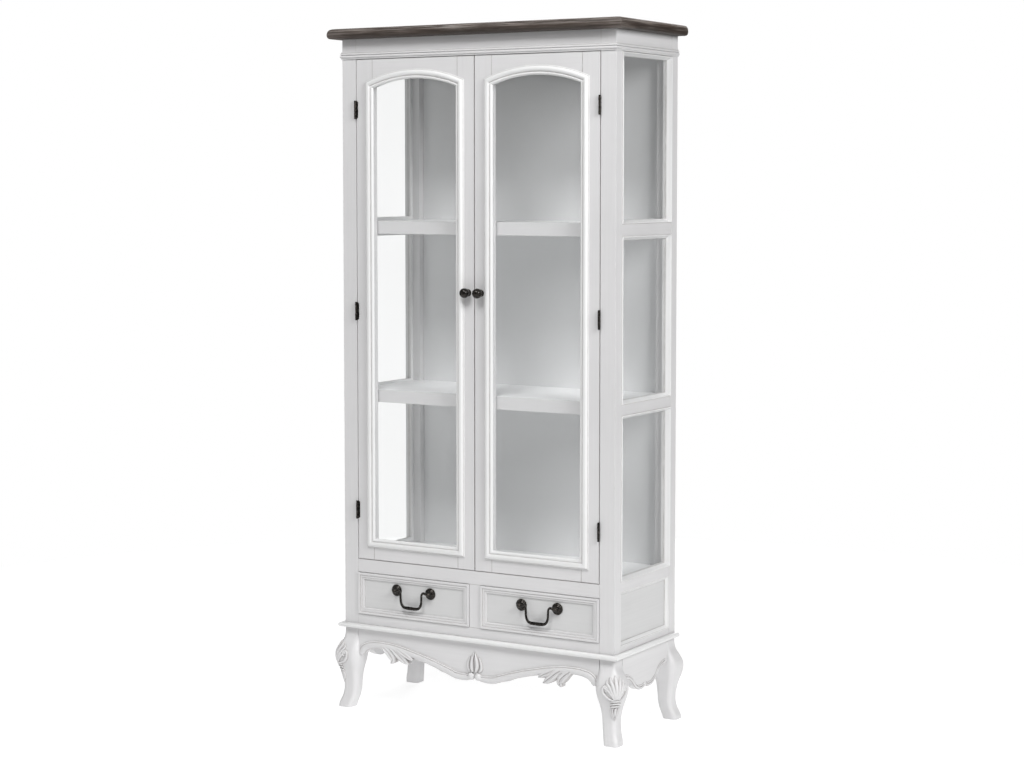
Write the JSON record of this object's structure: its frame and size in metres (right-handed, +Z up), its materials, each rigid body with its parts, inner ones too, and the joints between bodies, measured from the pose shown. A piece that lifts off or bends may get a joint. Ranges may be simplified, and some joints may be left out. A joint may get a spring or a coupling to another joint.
{
  "type": "curio cabinet",
  "caption": "Tall white glazed display cabinet with arched double doors, glazed sides, shelves and drawers under the doors, on carved cabriole legs with a dark wooden top.",
  "frame": {"origin": "on the floor, under the middle of the whole cabinet's bounding box", "axes": "+Z up, -Y out of the front (the doors and drawers), +X to the right seen from the front"},
  "size_m": [0.922, 0.4111, 1.9],
  "materials": {
    "white_paint": "satin off-white brushed paint, rubbed at edges",
    "inside_paint": "matte white paint",
    "aged_oak": "weathered grey-brown oak, waxed",
    "glass": "clear float glass",
    "dark_bronze": "dark antique bronze, satin"
  },
  "bodies": {
    "cabinet": {"top_board": "aged_oak", "post_front_left": "white_paint", "leg_front_left": "white_paint", "post_front_right": "white_paint", "leg_front_right": "white_paint", "post_back_left": "white_paint", "leg_back_left": "white_paint", "post_back_right": "white_paint", "leg_back_right": "white_paint", "frieze": "white_paint", "cornice": "white_paint", "base_moulding": "white_paint", "rail_above_drawers": "white_paint", "rail_below_drawers": "white_paint", "apron_front": "white_paint", "drawer_divider": "white_paint", "back_rail": "white_paint", "apron_left": "white_paint", "apron_right": "white_paint", "side_frame_left": "white_paint", "side_frame_right": "white_paint", "side_panel_left": "white_paint", "side_panel_right": "white_paint", "back_panel": "inside_paint", "bottom_board": "inside_paint", "display_floor": "inside_paint", "shelf_lower": "inside_paint", "shelf_upper": "inside_paint", "side_glass_bottom_left": "glass", "hinge_bottom_left": "dark_bronze", "side_glass_middle_left": "glass", "hinge_middle_left": "dark_bronze", "side_glass_top_left": "glass", "hinge_top_left": "dark_bronze", "side_glass_bottom_right": "glass", "hinge_bottom_right": "dark_bronze", "side_glass_middle_right": "glass", "hinge_middle_right": "dark_bronze", "side_glass_top_right": "glass", "hinge_top_right": "dark_bronze"},
    "door_left": {"door_frame_left": "white_paint", "door_moulding_left": "white_paint", "door_glass_left": "glass", "door_knob_left": "dark_bronze"},
    "drawer_left": {"drawer_front_left": "white_paint", "drawer_box_left": "inside_paint", "rosette_left_of_left_drawer": "dark_bronze", "rosette_right_of_left_drawer": "dark_bronze"},
    "pull_left": {"bail_left": "dark_bronze"},
    "door_right": {"door_frame_right": "white_paint", "door_moulding_right": "white_paint", "door_glass_right": "glass", "door_knob_right": "dark_bronze"},
    "drawer_right": {"drawer_front_right": "white_paint", "drawer_box_right": "inside_paint", "rosette_left_of_right_drawer": "dark_bronze", "rosette_right_of_right_drawer": "dark_bronze"},
    "pull_right": {"bail_right": "dark_bronze"}
  },
  "joints": [
    {"name": "door_left_hinge", "type": "hinge", "parent": "cabinet", "child": "door_left", "pos_m": [-0.384, -0.1768, 1.12], "axis": [0, 0, -1], "range_deg": [0, 110]},
    {"name": "door_right_hinge", "type": "hinge", "parent": "cabinet", "child": "door_right", "pos_m": [0.384, -0.1768, 1.12], "axis": [0, 0, 1], "range_deg": [0, 110]},
    {"name": "drawer_left_slide", "type": "slide", "parent": "cabinet", "child": "drawer_left", "axis": [0, -1, 0], "range_m": [0, 0.23]},
    {"name": "drawer_right_slide", "type": "slide", "parent": "cabinet", "child": "drawer_right", "axis": [0, -1, 0], "range_m": [0, 0.23]},
    {"name": "pull_left_hinge", "type": "hinge", "parent": "drawer_left", "child": "pull_left", "pos_m": [-0.20125, -0.1835, 0.346], "axis": [-1, 0, 0], "range_deg": [-6, 85]},
    {"name": "pull_right_hinge", "type": "hinge", "parent": "drawer_right", "child": "pull_right", "pos_m": [0.20125, -0.1835, 0.346], "axis": [-1, 0, 0], "range_deg": [-6, 85]}
  ]
}
